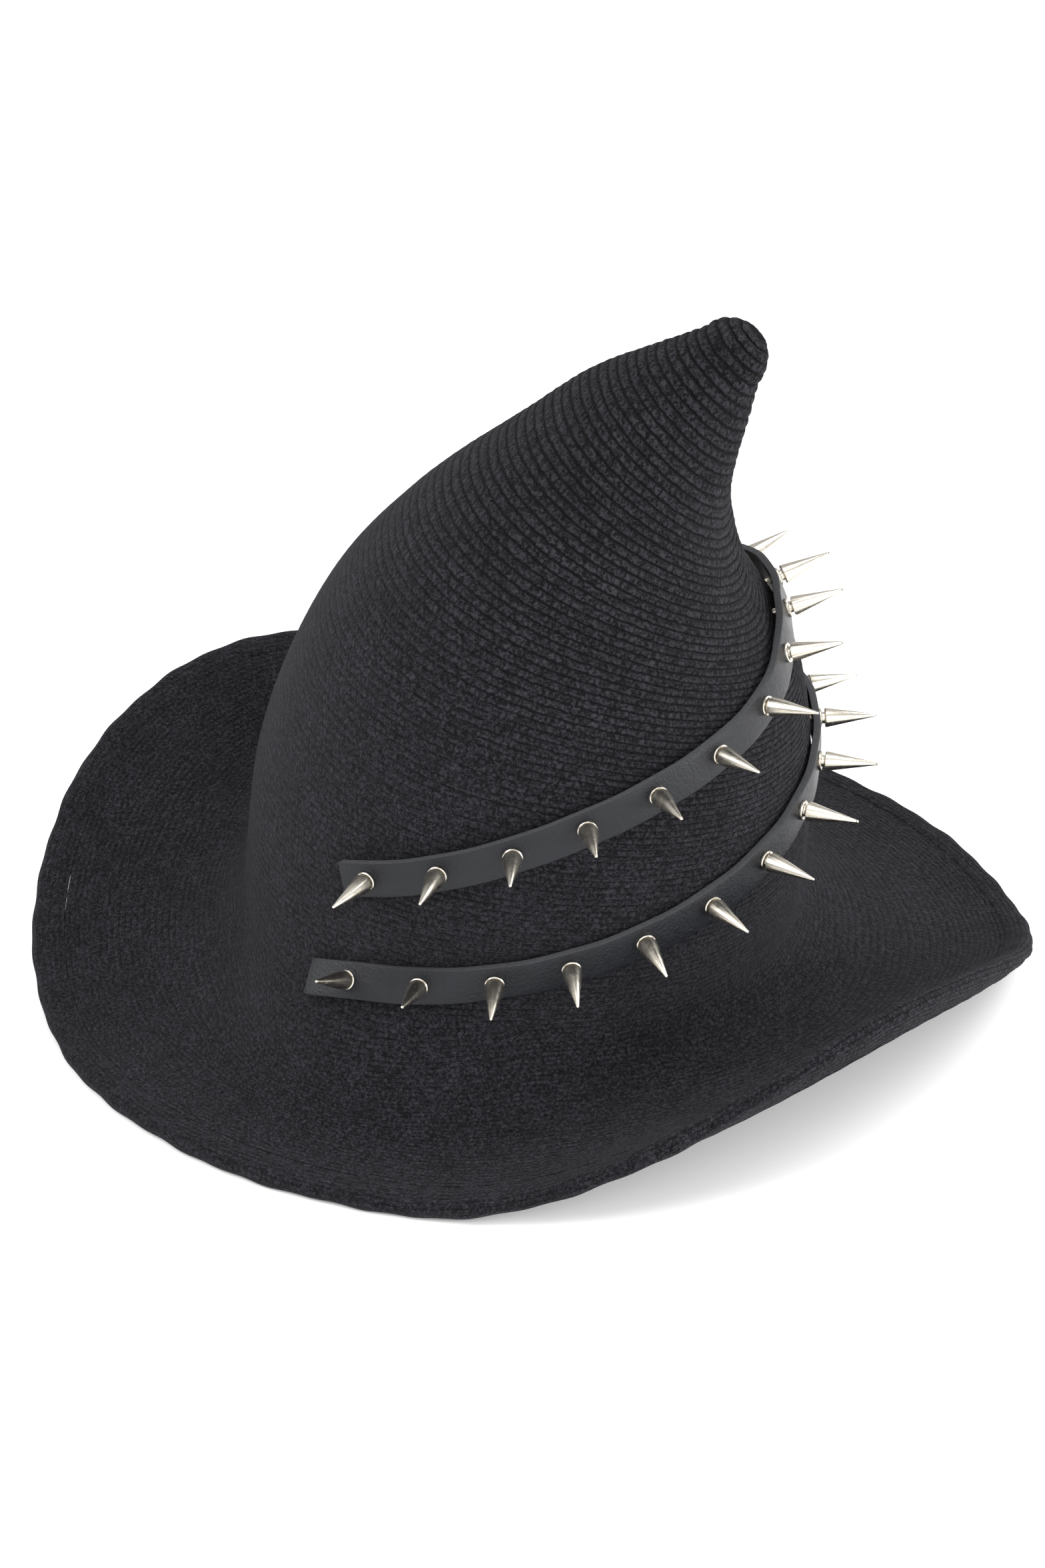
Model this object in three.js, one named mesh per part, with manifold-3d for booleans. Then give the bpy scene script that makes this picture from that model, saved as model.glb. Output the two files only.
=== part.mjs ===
// A knitted witch hat: a bent crown on a wavy wired brim, with two studded leather straps.
// Millimetres, +Z up. The wearer's face is at -Y, the tip leans back to +Y, and +X is the
// wearer's left. The origin is on the table under the middle of the hat.
import * as THREE from 'three';
import { mergeVertices } from 'three/addons/utils/BufferGeometryUtils.js';
import Module from 'manifold-3d';

const wasm = await Module();
wasm.setup();

// ---- Driving dimensions (mm, degrees) ----
const headHalfLength = 97.5;    // outside of the knit at the head line, front to back
const headHalfWidth = 98;       // the same, side to side
const headLineHeight = 40;      // crown meets brim here
const crownHeight = 203;        // from the head line up to the tip's last ring
const knitWall = 3;             // thickness of the knitted fabric
const squareness = 2.2;         // 2 is an ellipse, more is boxier

const brimFront = 80;           // level distance from the head line to the brim's edge
const brimBack = 74;
const brimSide = 57;
const brimRise = 43;            // how far the two raised lobes stand over the table
const hemWidth = 11;            // folded hem along the brim's edge
const hemThickness = 6.4;
const wireDiameter = 2;

const bandHeight = 28;          // ribbon sweatband inside the head opening
const bandThickness = 1.2;

const strapWidth = 12.6;
const strapThickness = 2;
const strapStandOff = 1.2;      // the knit's fuzz holds the leather off by this
const spikePitch = 26;
const spikeLength = 20.5;
const spikeRadius = 3.4;
const screwRadius = 1.3;
const screwHeadRadius = 3.4;

const clearance = 0.3;          // gap between pieces that touch

const rad = THREE.MathUtils.degToRad;
const { lerp, clamp } = THREE.MathUtils;

// A smooth hump, 1 at its middle and 0 past its half-width; angle is in radians, the rest
// in degrees.
function bump(angle, middle, halfWidth) {
  const turn = Math.abs(((THREE.MathUtils.radToDeg(angle) - middle) % 360 + 540) % 360 - 180);
  return turn < halfWidth ? 0.5 + 0.5 * Math.cos(Math.PI * turn / halfWidth) : 0;
}

// ---- The crown's shape ----
// Rings from the head line to the tip. rise is a share of the crown's height, lean is how far
// back the ring's middle sits, tilt is how far its back edge is tipped down, girth is its
// half-length and width its half-width, both as shares of the head line's.
const crownRings = [
  { rise: 0.00, lean: -4, tilt: 0, girth: 1.000, width: 1.00 },
  { rise: 0.20, lean: 1, tilt: 5, girth: 0.985, width: 0.98 },
  { rise: 0.41, lean: 10, tilt: 13, girth: 0.890, width: 0.85 },
  { rise: 0.575, lean: 21.5, tilt: 20, girth: 0.725, width: 0.67 },
  { rise: 0.735, lean: 33.5, tilt: 34, girth: 0.470, width: 0.44 },
  { rise: 0.865, lean: 45, tilt: 45, girth: 0.300, width: 0.285 },
  { rise: 1.00, lean: 65, tilt: 46, girth: 0.125, width: 0.12 },
];
const lastRing = crownRings.length - 1;
const tipRadius = headHalfLength * crownRings[lastRing].girth;

// At the temples the knit already spreads above the head line, into the brim.
const flare = 11;               // how far it stands out at the head line
const flareHeight = 25;
const templeAngle = 56;         // from the face
const templeHalfAngle = 42;

function smooth(p0, p1, p2, p3, f) {
  return 0.5 * (2 * p1 + (p2 - p0) * f + (2 * p0 - 5 * p1 + 4 * p2 - p3) * f * f
    + (3 * p1 - p0 - 3 * p2 + p3) * f * f * f);
}

// One measure of the crown at a place along its axis, counted in rings.
function along(place, measure) {
  const i = clamp(Math.floor(place), 0, lastRing - 1);
  const value = (k) => crownRings[k][measure];
  const a = value(i);
  const b = value(i + 1);
  const before = i > 0 ? value(i - 1) : 2 * a - b;
  const after = i + 2 <= lastRing ? value(i + 2) : 2 * b - a;
  return smooth(before, a, b, after, place - i);
}

// Cosine and sine of an angle on the boxy oval. Angle 0 is the face, 90 the left side.
function oval(angle) {
  const c = Math.cos(angle);
  const s = Math.sin(angle);
  const k = (Math.abs(c) ** squareness + Math.abs(s) ** squareness) ** (-1 / squareness);
  return [c * k, s * k];
}

// How much of the spread an angle, in radians, has: 1 at a temple, 0 well away from both.
function atTemple(angle) {
  return bump(angle, templeAngle, templeHalfAngle) + bump(angle, -templeAngle, templeHalfAngle);
}

// A point of the crown: share 1 is the outer surface and 0 the axis, and inset is a depth
// under the surface. Past the last ring the axis runs straight on, for the rounded tip.
function crownPoint(place, angle, share = 1, inset = 0) {
  const ring = Math.min(place, lastRing);
  const beyond = (place - ring) * tipRadius;
  const tilt = rad(along(ring, 'tilt'));
  const height = crownHeight * along(ring, 'rise');
  const spread = flare * Math.max(0, 1 - height / flareHeight) ** 2 * atTemple(angle);
  const halfLength = share * (headHalfLength * along(ring, 'girth') + spread - inset);
  const halfWidth = share * (headHalfWidth * along(ring, 'width') + spread - inset);
  const [c, s] = oval(angle);
  return new THREE.Vector3(
    halfWidth * s,
    along(ring, 'lean') - halfLength * c * Math.cos(tilt) + beyond * Math.sin(tilt),
    headLineHeight + height + halfLength * c * Math.sin(tilt) + beyond * Math.cos(tilt),
  );
}

function crownNormal(place, angle) {
  const step = 0.01;
  const up = crownPoint(place + step, angle).sub(crownPoint(place - step, angle));
  const round = crownPoint(place, angle + step).sub(crownPoint(place, angle - step));
  return round.cross(up).normalize();
}

// ---- The brim's shape ----
// Two raised lobes, at the back left and the front right, and flat stretches between them.
const brimLobes = [
  { middle: 135, halfWidth: 60, height: 1.12, curl: 78 },
  { middle: 311, halfWidth: 76, height: 1.25, curl: 30 },
];
const cornerMiddle = 180;       // the back is drawn out to a soft corner
const cornerHalfWidth = 45;
const cornerPull = 6;
const edgeRun = 35;             // how far in the curl at the edge is felt
const leaveRun = 22;            // how far down the brim still follows the crown's slope

function lobe(angle, measure) {
  return brimLobes.reduce((sum, l) => sum + l[measure] * bump(angle, l.middle, l.halfWidth), 0);
}

// The section of the brim at an angle, as points [outward, up] of a curve from the head line
// to the hem's fold, and the frame that places them.
function brimSection(angle) {
  const start = crownPoint(0, angle);
  const pull = cornerPull * bump(angle, cornerMiddle, cornerHalfWidth);
  const forward = Math.cos(angle);
  const reachAlong = forward > 0 ? brimFront : brimBack + pull;
  const end = new THREE.Vector3(
    (headHalfWidth + brimSide) * Math.sin(angle),
    -(headHalfLength + reachAlong) * forward,
    0,
  );
  const out = new THREE.Vector3(end.x - start.x, end.y - start.y, 0);
  const reach = out.length() - hemThickness / 2;
  out.normalize();
  const curl = rad(lobe(angle, 'curl'));
  const edge = hemThickness / 2 + brimRise * lobe(angle, 'height');
  const down = start.clone().sub(crownPoint(0.02, angle));
  const leave = new THREE.Vector2(down.dot(out), down.z).multiplyScalar(-leaveRun / down.z);
  const points = [
    new THREE.Vector2(0, headLineHeight),
    new THREE.Vector2(leave.x, headLineHeight + leave.y),
    new THREE.Vector2(reach - edgeRun * Math.cos(curl), edge - edgeRun * Math.sin(curl)),
    new THREE.Vector2(reach, edge),
  ];
  return { start, out, curve: new THREE.CubicBezierCurve(...points) };
}

const sections = new Map();

// A point of the brim: share runs from 0 at the head line to 1 at the fold, height is over
// the middle of the fabric, and past shifts it on along the curve's end.
function brimPoint(share, angle, height, past = 0) {
  const key = angle.toFixed(5);
  if (!sections.has(key)) sections.set(key, brimSection(angle));
  const { start, out, curve } = sections.get(key);
  const point = curve.getPoint(share);
  const tangent = curve.getTangent(share);
  const level = point.x - tangent.y * height + tangent.x * past;
  const up = point.y + tangent.x * height + tangent.y * past;
  return new THREE.Vector3(start.x + out.x * level, start.y + out.y * level, up);
}

// ---- Helpers ----

// A closed lathe whose corners are moved by place(r, angle, y).
function bentLathe(outline, segments, place) {
  const lathe = new THREE.LatheGeometry(outline.map(([r, y]) => new THREE.Vector2(r, y)), segments);
  return bent(lathe, (v) => place(Math.hypot(v.x, v.z), Math.atan2(v.x, v.z), v.y));
}

function bent(geometry, place) {
  const welded = weld(geometry);
  const corners = welded.attributes.position;
  const v = new THREE.Vector3();
  for (let i = 0; i < corners.count; i += 1) {
    v.fromBufferAttribute(corners, i);
    const moved = place(v);
    corners.setXYZ(i, moved.x, moved.y, moved.z);
  }
  return welded;
}

function weld(geometry) {
  const copy = geometry.clone();
  copy.deleteAttribute('normal');
  copy.deleteAttribute('uv');
  const merged = mergeVertices(copy, 1e-5);
  const index = merged.index.array;
  const kept = [];
  for (let i = 0; i < index.length; i += 3) {
    const [a, b, c] = [index[i], index[i + 1], index[i + 2]];
    if (a !== b && b !== c && c !== a) kept.push(a, b, c);
  }
  merged.setIndex(kept);
  return merged;
}

function solid(geometry) {
  const mesh = new wasm.Mesh({
    numProp: 3,
    vertProperties: new Float32Array(geometry.attributes.position.array),
    triVerts: new Uint32Array(geometry.index.array),
  });
  return new wasm.Manifold(mesh);
}

function cut(geometry, cutters) {
  const rest = cutters.reduce((body, cutter) => body.subtract(solid(cutter)), solid(geometry));
  const mesh = rest.getMesh();
  const result = new THREE.BufferGeometry();
  result.setAttribute('position', new THREE.BufferAttribute(mesh.vertProperties, 3));
  result.setIndex(new THREE.BufferAttribute(mesh.triVerts, 1));
  return result;
}

const hat = new THREE.Group();

function add(name, geometry, material) {
  const mesh = new THREE.Mesh(geometry.toNonIndexed(), material);
  mesh.geometry.computeVertexNormals();
  mesh.name = name;
  hat.add(mesh);
}

const knit = () => new THREE.MeshStandardMaterial({ color: 0x2a2a2e, roughness: 0.95 });
const leather = () => new THREE.MeshStandardMaterial({ color: 0x1b1d21, roughness: 0.45 });
const ribbon = () => new THREE.MeshStandardMaterial({ color: 0x161618, roughness: 0.8 });
const nickel = () => new THREE.MeshStandardMaterial({ color: 0xc8c2b6, roughness: 0.15, metalness: 1 });
const steel = () => new THREE.MeshStandardMaterial({ color: 0x8a8c90, roughness: 0.4, metalness: 1 });

const roundSegments = 44;
const brimSegments = 64;

// ---- Straps ----
// Each strap starts beside the face, climbs round the left side to the back and comes down
// on the right. Heights are its middle's, bow is how far its sides stand over a plane, slip
// how far it sits round from the middle, and tip how far its top edge leans off the knit.
// Its ends, beside the face, hang down by droop and face up by turn.
const straps = [
  {
    name: 'upper', front: 73.5, back: 142, bow: 2.5, droop: 0,
    spikes: 17, endMargin: 10, slip: 3, tip: 11, flat: 0, turn: 0,
  },
  {
    name: 'lower', front: 49, back: 97, bow: -10, droop: 28,
    spikes: 18, endMargin: 15, slip: -6, tip: 5, flat: 1, turn: 70,
  },
];

const endHalfAngle = 62;        // how far round from the face the droop and turn are felt
const endHold = 48;             // nearer to the face than this they grow no more

function atEnd(angle) {
  const fromFace = Math.acos(Math.cos(angle));
  return bump(Math.max(fromFace, rad(endHold)), 0, endHalfAngle);
}

function strapHeight(strap, angle) {
  const level = lerp(strap.front, strap.back, (1 - Math.cos(angle)) / 2);
  return level + strap.bow * Math.sin(angle) ** 2 - strap.droop * atEnd(angle);
}

function strapTip(strap, angle) {
  return strap.tip * (1 - atTemple(angle) * strap.flat) - strap.turn * atEnd(angle);
}

// The place along the crown's axis where its surface is at a height.
function placeAtHeight(angle, height) {
  let low = 0;
  let high = lastRing;
  for (let i = 0; i < 40; i += 1) {
    const middle = (low + high) / 2;
    if (crownPoint(middle, angle).z < height) low = middle;
    else high = middle;
  }
  return low;
}

// How far the middle of a tipped strap's inner face is from the knit.
function middleStandOff(tip) {
  return strapStandOff + strapWidth / 2 * Math.sin(rad(Math.abs(tip)));
}

// The middle line of the strap's leather, and a function that gives the point at a distance
// along it with its directions out of the face and across the strap.
function strapLine(strap) {
  const fine = [];
  for (let degrees = 5; degrees <= 355; degrees += 1) {
    const angle = rad(degrees);
    const place = placeAtHeight(angle, strapHeight(strap, angle));
    const tip = strapTip(strap, angle);
    const normal = crownNormal(place, angle);
    const level = new THREE.Vector3(normal.y, -normal.x, 0).normalize();
    const out = normal.clone().applyAxisAngle(level, -rad(tip));
    const lift = middleStandOff(tip) + strapThickness / 2;
    fine.push({ point: crownPoint(place, angle).addScaledVector(normal, lift), out });
  }
  const length = [0];
  for (let i = 1; i < fine.length; i += 1) {
    length.push(length[i - 1] + fine[i].point.distanceTo(fine[i - 1].point));
  }
  const at = (distance) => {
    let i = 1;
    while (i < fine.length - 1 && length[i] < distance) i += 1;
    const f = (distance - length[i - 1]) / (length[i] - length[i - 1]);
    const point = fine[i - 1].point.clone().lerp(fine[i].point, f);
    const out = fine[i - 1].out.clone().lerp(fine[i].out, f).normalize();
    const forward = fine[i].point.clone().sub(fine[i - 1].point);
    const across = out.clone().cross(forward).normalize();
    return { point, out, across };
  };
  const first = (length[fine.length - 1] - (strap.spikes - 1) * spikePitch) / 2 + strap.slip;
  const spikes = Array.from({ length: strap.spikes }, (_, i) => first + i * spikePitch);
  return { at, spikes };
}

function strapBody(strap, line) {
  const length = (strap.spikes - 1) * spikePitch + 2 * strap.endMargin;
  const steps = 4 * strap.spikes;
  const box = new THREE.BoxGeometry(length, strapWidth, strapThickness, steps, 1, 1);
  return bent(box, (v) => {
    const { point, out, across } = line.at(line.spikes[0] - strap.endMargin + length / 2 + v.x);
    return point.clone().addScaledVector(out, v.z).addScaledVector(across, v.y);
  });
}

// The cone, its neck and flange over the strap, and the screw and its head behind the knit.
const flangeHeight = 1;
const neckHeight = 1.3;
const neckRadius = 1.8;
const tipEndRadius = 0.5;       // the cone's blunt tip
const coneEdge = 0.4;           // height of the cone's turned edges, at its foot and its tip
const spikeSides = 8;
const holeSides = 6;
const holeOvershoot = 2;        // how far a hole's cutter reaches past what it cuts
const headHeight = 1.2;
const facetSlack = 0.9;         // the flat facets inside the crown stand in by this much

// The screw's length between its head and the flange, through leather and knit.
function gripLength(strap) {
  const tilt = rad(strap.tip);
  const knit = middleStandOff(strap.tip) + knitWall + facetSlack;
  return clearance + strapThickness + knit / Math.cos(tilt) + screwHeadRadius * Math.tan(tilt);
}

function spikeBody(strap) {
  const grip = gripLength(strap);
  const coneStart = flangeHeight + neckHeight;
  const outline = [
    [0, -grip - headHeight],
    [screwHeadRadius, -grip - headHeight],
    [screwHeadRadius, -grip],
    [screwRadius, -grip],
    [screwRadius, 0],
    [spikeRadius, 0],
    [spikeRadius, flangeHeight],
    [neckRadius, flangeHeight],
    [neckRadius, coneStart],
    [spikeRadius, coneStart + coneEdge],
    [tipEndRadius, spikeLength - coneEdge],
    [0, spikeLength],
  ];
  return weld(new THREE.LatheGeometry(outline.map(([r, y]) => new THREE.Vector2(r, y)), spikeSides));
}

function spikeMatrix({ point, out, across }) {
  const lift = strapThickness / 2 + clearance;
  const forward = across.clone().cross(out);
  const matrix = new THREE.Matrix4().makeBasis(across, out, forward);
  return matrix.setPosition(point.clone().addScaledVector(out, lift));
}

function screwHole(strap) {
  const depth = gripLength(strap) + 2 * holeOvershoot;
  const radius = screwRadius + clearance;
  const hole = new THREE.CylinderGeometry(radius, radius, depth, holeSides);
  return weld(hole.translate(0, holeOvershoot - depth / 2, 0));
}

const crownHoles = [];
for (const strap of straps) {
  const line = strapLine(strap);
  const places = line.spikes.map((distance) => spikeMatrix(line.at(distance)));
  const holes = places.map((matrix) => screwHole(strap).applyMatrix4(matrix));
  add(`${strap.name}_strap`, cut(strapBody(strap, line), holes), leather());
  places.forEach((matrix, i) => {
    const number = String(i + 1).padStart(2, '0');
    add(`${strap.name}_spike_${number}`, spikeBody(strap).applyMatrix4(matrix), nickel());
  });
  crownHoles.push(...holes);
}

// ---- Crown ----
const hollowEnd = 0.25;         // the hollow stops this many rings short of the last
const lowRows = [0, 0.13, 0.26, 0.4, 0.6];      // closer together where the temples spread

function crownBody() {
  const outline = [[0, lastRing + 1]];
  for (const turn of [60, 30]) outline.push([Math.cos(rad(turn)), lastRing + Math.sin(rad(turn))]);
  const rows = [...lowRows, ...Array.from({ length: 2 * lastRing - 1 }, (_, i) => 1 + i / 2)];
  for (const place of rows.toReversed()) outline.push([1, place]);
  // The inner wall is written with a radius over 1.5, which the placing function takes off.
  for (const place of rows.slice(0, -1)) outline.push([2, place]);
  outline.push([0, lastRing - hollowEnd]);
  return bentLathe(outline.reverse(), roundSegments, (r, angle, y) => (
    r > 1.5 ? crownPoint(y, angle, 1, knitWall) : crownPoint(y, angle, r)
  ));
}
add('crown', cut(crownBody(), crownHoles), knit());

// ---- Brim, its folded hem and the wire in the fold ----
const far = 100;                // any radius, for lathes whose place is set by brimPoint

function brimBody() {
  const steps = 7;
  const inner = hemWidth - hemThickness / 2 + clearance;
  const outline = [];
  for (let i = 0; i <= steps; i += 1) outline.push([far + i, 0]);
  for (let i = steps; i >= 0; i -= 1) outline.push([far + i, -1]);
  outline.push(outline[0]);
  return bentLathe(outline.reverse(), brimSegments, (r, angle, y) => {
    const share = Math.round(r - far) / steps;
    const top = share * hemThickness / 2;
    const past = share === 0 ? 2 * clearance : -share * inner;
    return brimPoint(share, angle, top + y * knitWall, past);
  });
}
add('brim', brimBody(), knit());

const half = hemThickness / 2;
const boreSlack = 0.15;         // the bore's flat facets stand in by this much
const wireRoom = wireDiameter / 2 + clearance + boreSlack;
const slit = 0.25;              // half the gap between the hem's two layers
const shoulder = 0.7 * half;    // the fold's corners, halfway round

function hemBody() {
  const outline = [
    [-hemWidth + half, half], [0, half], [shoulder, shoulder], [half, 0],
    [shoulder, -shoulder], [0, -half], [-hemWidth + half, -half],
    [-hemWidth + half, -slit], [-wireRoom, -slit], [-wireRoom / 2, -wireRoom],
    [wireRoom / 2, -wireRoom], [wireRoom * 1.1, 0], [wireRoom / 2, wireRoom],
    [-wireRoom / 2, wireRoom], [-wireRoom, slit], [-hemWidth + half, slit],
    [-hemWidth + half, half],
  ].map(([x, y]) => [far + x, y]).reverse();
  return bentLathe(outline, brimSegments, (r, angle, y) => brimPoint(1, angle, y, r - far));
}
add('brim_hem', hemBody(), knit());

function wireBody() {
  const outline = [];
  for (let i = 0; i <= 6; i += 1) {
    const turn = rad(60 * i);
    outline.push([far + wireDiameter / 2 * Math.cos(turn), wireDiameter / 2 * Math.sin(turn)]);
  }
  return bentLathe(outline, brimSegments, (r, angle, y) => brimPoint(1, angle, y, r - far));
}
add('brim_wire', wireBody(), steel());

// ---- Sweatband: sewn on just under the head line, it stands in over the screw heads ----
const mostScrewTilt = 30;       // from square to the knit, at the temples
const sewnEdge = 4;             // how far its sewn edge reaches under the head line

function sweatbandBody() {
  const sewn = knitWall + 2 * clearance;
  const tilt = rad(mostScrewTilt);
  const longest = Math.max(...straps.map(gripLength));
  const headDepth = longest + headHeight - clearance - strapThickness - strapStandOff;
  const standing = headDepth / Math.cos(tilt) + screwHeadRadius * Math.sin(tilt) + clearance;
  const rows = [[-sewnEdge, sewn], [0, standing], [bandHeight, standing]];
  const outline = rows.map(([height, inset]) => [far + inset, height]);
  const back = rows.map(([height, inset]) => [far + inset + bandThickness, height]).reverse();
  return bentLathe([...outline, ...back, outline[0]], roundSegments, (r, angle, y) => {
    const place = placeAtHeight(angle, headLineHeight + Math.max(y, 0));
    const point = crownPoint(place, angle, 1, r - far);
    point.z += Math.min(y, 0);
    return point;
  });
}
add('sweatband', sweatbandBody(), ribbon());

// The origin goes on the table, under the middle of the hat's outline.
const bounds = new THREE.Box3().setFromObject(hat);
const middle = bounds.getCenter(new THREE.Vector3());
hat.position.set(-middle.x, -middle.y, -bounds.min.z);

export default hat;
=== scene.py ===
import math

import bpy
import numpy as np
from mathutils import Matrix, Vector


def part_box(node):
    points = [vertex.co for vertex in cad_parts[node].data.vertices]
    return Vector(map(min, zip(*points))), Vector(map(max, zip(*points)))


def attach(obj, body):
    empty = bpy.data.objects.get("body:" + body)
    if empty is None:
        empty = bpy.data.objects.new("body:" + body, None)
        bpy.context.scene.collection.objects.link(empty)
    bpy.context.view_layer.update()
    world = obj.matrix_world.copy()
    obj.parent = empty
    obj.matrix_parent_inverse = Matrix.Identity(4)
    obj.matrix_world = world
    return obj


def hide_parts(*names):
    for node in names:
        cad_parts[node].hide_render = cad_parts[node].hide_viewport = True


bl_info = {
    "name": "Knitted Witch Hat",
    "version": (1, 0, 0),
    "blender": (4, 5, 0),
    "location": "View3D > Sidebar > Witch Hat",
    "description": "Builds a knitted witch hat with two studded straps",
    "category": "Add Mesh",
}

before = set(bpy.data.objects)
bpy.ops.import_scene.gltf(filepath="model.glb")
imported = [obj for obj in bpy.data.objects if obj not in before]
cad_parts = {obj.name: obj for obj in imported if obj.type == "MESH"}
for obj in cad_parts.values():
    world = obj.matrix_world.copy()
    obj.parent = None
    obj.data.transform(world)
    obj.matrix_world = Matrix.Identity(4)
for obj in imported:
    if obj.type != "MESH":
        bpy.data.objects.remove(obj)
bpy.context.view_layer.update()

# The crown's rings, from the head line to the tip: the share of the crown's height, how far
# back the ring's middle sits, how far its back is tipped down, and its half-length and
# half-width as shares of the head line's.
RISE = (0.00, 0.20, 0.41, 0.575, 0.735, 0.865, 1.00)
LEAN = (-0.004, 0.001, 0.010, 0.0215, 0.0335, 0.045, 0.065)
TILT = (0, 5, 13, 20, 34, 45, 46)
GIRTH = (1.000, 0.985, 0.890, 0.725, 0.470, 0.300, 0.125)
WIDTH = (1.00, 0.98, 0.85, 0.67, 0.44, 0.285, 0.12)
LAST = len(RISE) - 1
# The knit's courses stand further apart towards the tip, where it is stretched less.
COURSE = (0.0021, 0.0022, 0.0025, 0.0028, 0.0032, 0.0036, 0.0039)

# The raised lobes of the brim: middle and half-width in degrees, height as a share of the
# rise, and how far the edge curls up in degrees.
LOBES = ((135, 60, 1.12, 78), (311, 76, 1.25, 30))

# The two straps. Heights are their middle line's, tip is how far the top edge leans off the
# knit in degrees, and flat takes that away at the temples. The ends, beside the face, hang
# down by droop and face up by turn.
STRAPS = {
    "upper": dict(front=0.0735, back=0.142, bow=0.0025, droop=0, spikes=17, end=0.010,
                  slip=0.003, tip=11, flat=0, turn=0),
    "lower": dict(front=0.049, back=0.097, bow=-0.010, droop=0.028, spikes=18, end=0.015,
                  slip=-0.006, tip=5, flat=1, turn=70),
}


def length(name, description, default, **more):
    return bpy.props.FloatProperty(
        name=name, description=description, default=default, unit="LENGTH", precision=4, **more)


def colour(name, description, default):
    return bpy.props.FloatVectorProperty(
        name=name, description=description, default=default, subtype="COLOR", size=4, min=0, max=1)


class HatShape(bpy.types.PropertyGroup):
    """Sizes of the knitted hat"""
    half_length: length(
        "Half length", "Outside of the knit at the head line, front to back", 0.0975)
    half_width: length("Half width", "Outside of the knit at the head line, side to side", 0.098)
    head_line: length("Head line", "Height at which the crown meets the brim", 0.040)
    crown_height: length("Crown height", "Head line to the last ring of the tip", 0.203)
    wall: length("Knit thickness", "Thickness of the knitted fabric", 0.003)
    brim_front: length("Brim, front", "Head line to the brim's edge at the face", 0.080)
    brim_back: length("Brim, back", "Head line to the brim's edge at the back", 0.074)
    brim_side: length("Brim, side", "Head line to the brim's edge at the ears", 0.057)
    brim_rise: length("Brim rise", "How far the raised lobes stand over the table", 0.043)
    hem_width: length("Hem width", "Width of the folded hem", 0.011)
    hem_thickness: length("Hem thickness", "Thickness of the folded hem", 0.0064)
    wire: length("Wire", "Diameter of the wire in the hem", 0.002)
    band_height: length("Sweatband", "Height of the ribbon inside the opening", 0.028)
    band_thickness: length("Ribbon", "Thickness of the ribbon", 0.0012)


class KnitLook(bpy.types.PropertyGroup):
    """How the knit looks"""
    wool: colour("Wool", "Colour of the yarn", (0.0038, 0.0037, 0.0048, 1))
    fluff: colour("Fluff", "Colour of the yarn's lit, fuzzy tops", (0.0300, 0.0296, 0.0350, 1))
    stitch: length("Stitch width", "Width of one stitch along a course", 0.0023)
    ridge: length("Ridge", "Depth of the groove between two courses", 0.00065)
    ribbon: colour("Ribbon", "Colour of the sweatband", (0.012, 0.012, 0.013, 1))


class StrapLook(bpy.types.PropertyGroup):
    """Sizes and colours of the straps and their spikes"""
    width: length("Width", "Width of the straps", 0.0126)
    thickness: length("Thickness", "Thickness of the leather", 0.002)
    stand_off: length("Stand-off", "Gap that the knit's fuzz leaves under the leather", 0.0012)
    pitch: length("Spike pitch", "Distance between spikes along the strap", 0.026)
    spike: length("Spike length", "Flange to tip", 0.0205)
    radius: length("Spike radius", "Radius at the foot of the cone", 0.0034)
    leather: colour("Leather", "Colour of the straps", (0.0048, 0.0054, 0.0074, 1))
    edge: colour("Cut edge", "Colour of the leather's cut edge", (0.030, 0.031, 0.034, 1))
    nickel: colour("Nickel", "Colour of the spikes", (0.60, 0.56, 0.485, 1))


def shape():
    return bpy.context.scene.hat_shape


def knit_look():
    return bpy.context.scene.hat_knit


def strap_look():
    return bpy.context.scene.hat_straps


# ---- Shape of the crown and brim ----

def along(table, place):
    """One measure of the crown at places counted in rings, as smooth as a bent spline."""
    t = np.asarray(table, float)
    t = np.concatenate([[2 * t[0] - t[1]], t, [2 * t[-1] - t[-2]]])
    place = np.asarray(place, float)
    i = np.clip(np.floor(place).astype(int), 0, LAST - 1)
    f = place - i
    a, b, c, d = t[i], t[i + 1], t[i + 2], t[i + 3]
    return 0.5 * (2 * b + (c - a) * f + (2 * a - 5 * b + 4 * c - d) * f ** 2
                  + (3 * b - a - 3 * c + d) * f ** 3)


def bump(angle, middle, half_width):
    """A smooth hump: angle in radians, the rest in degrees."""
    turn = np.abs((np.degrees(angle) - middle + 540) % 360 - 180)
    return np.where(turn < half_width, 0.5 + 0.5 * np.cos(np.pi * turn / half_width), 0.0)


def oval(angle, fullness=2.2):
    """Cosine and sine of an oval a little fuller than an ellipse."""
    c, s = np.cos(angle), np.sin(angle)
    k = (np.abs(c) ** fullness + np.abs(s) ** fullness) ** (-1 / fullness)
    return c * k, s * k


def at_temple(angle):
    """1 at the temples, where the head pulls the crown out and the straps lie flat."""
    return bump(angle, 56, 42) + bump(angle, -56, 42)


def at_end(angle):
    """How far the straps' ends droop and turn: growing up to 48 degrees from the face."""
    from_face = np.arccos(np.cos(angle))
    return bump(np.maximum(from_face, np.radians(48)), 0, 62)


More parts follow.
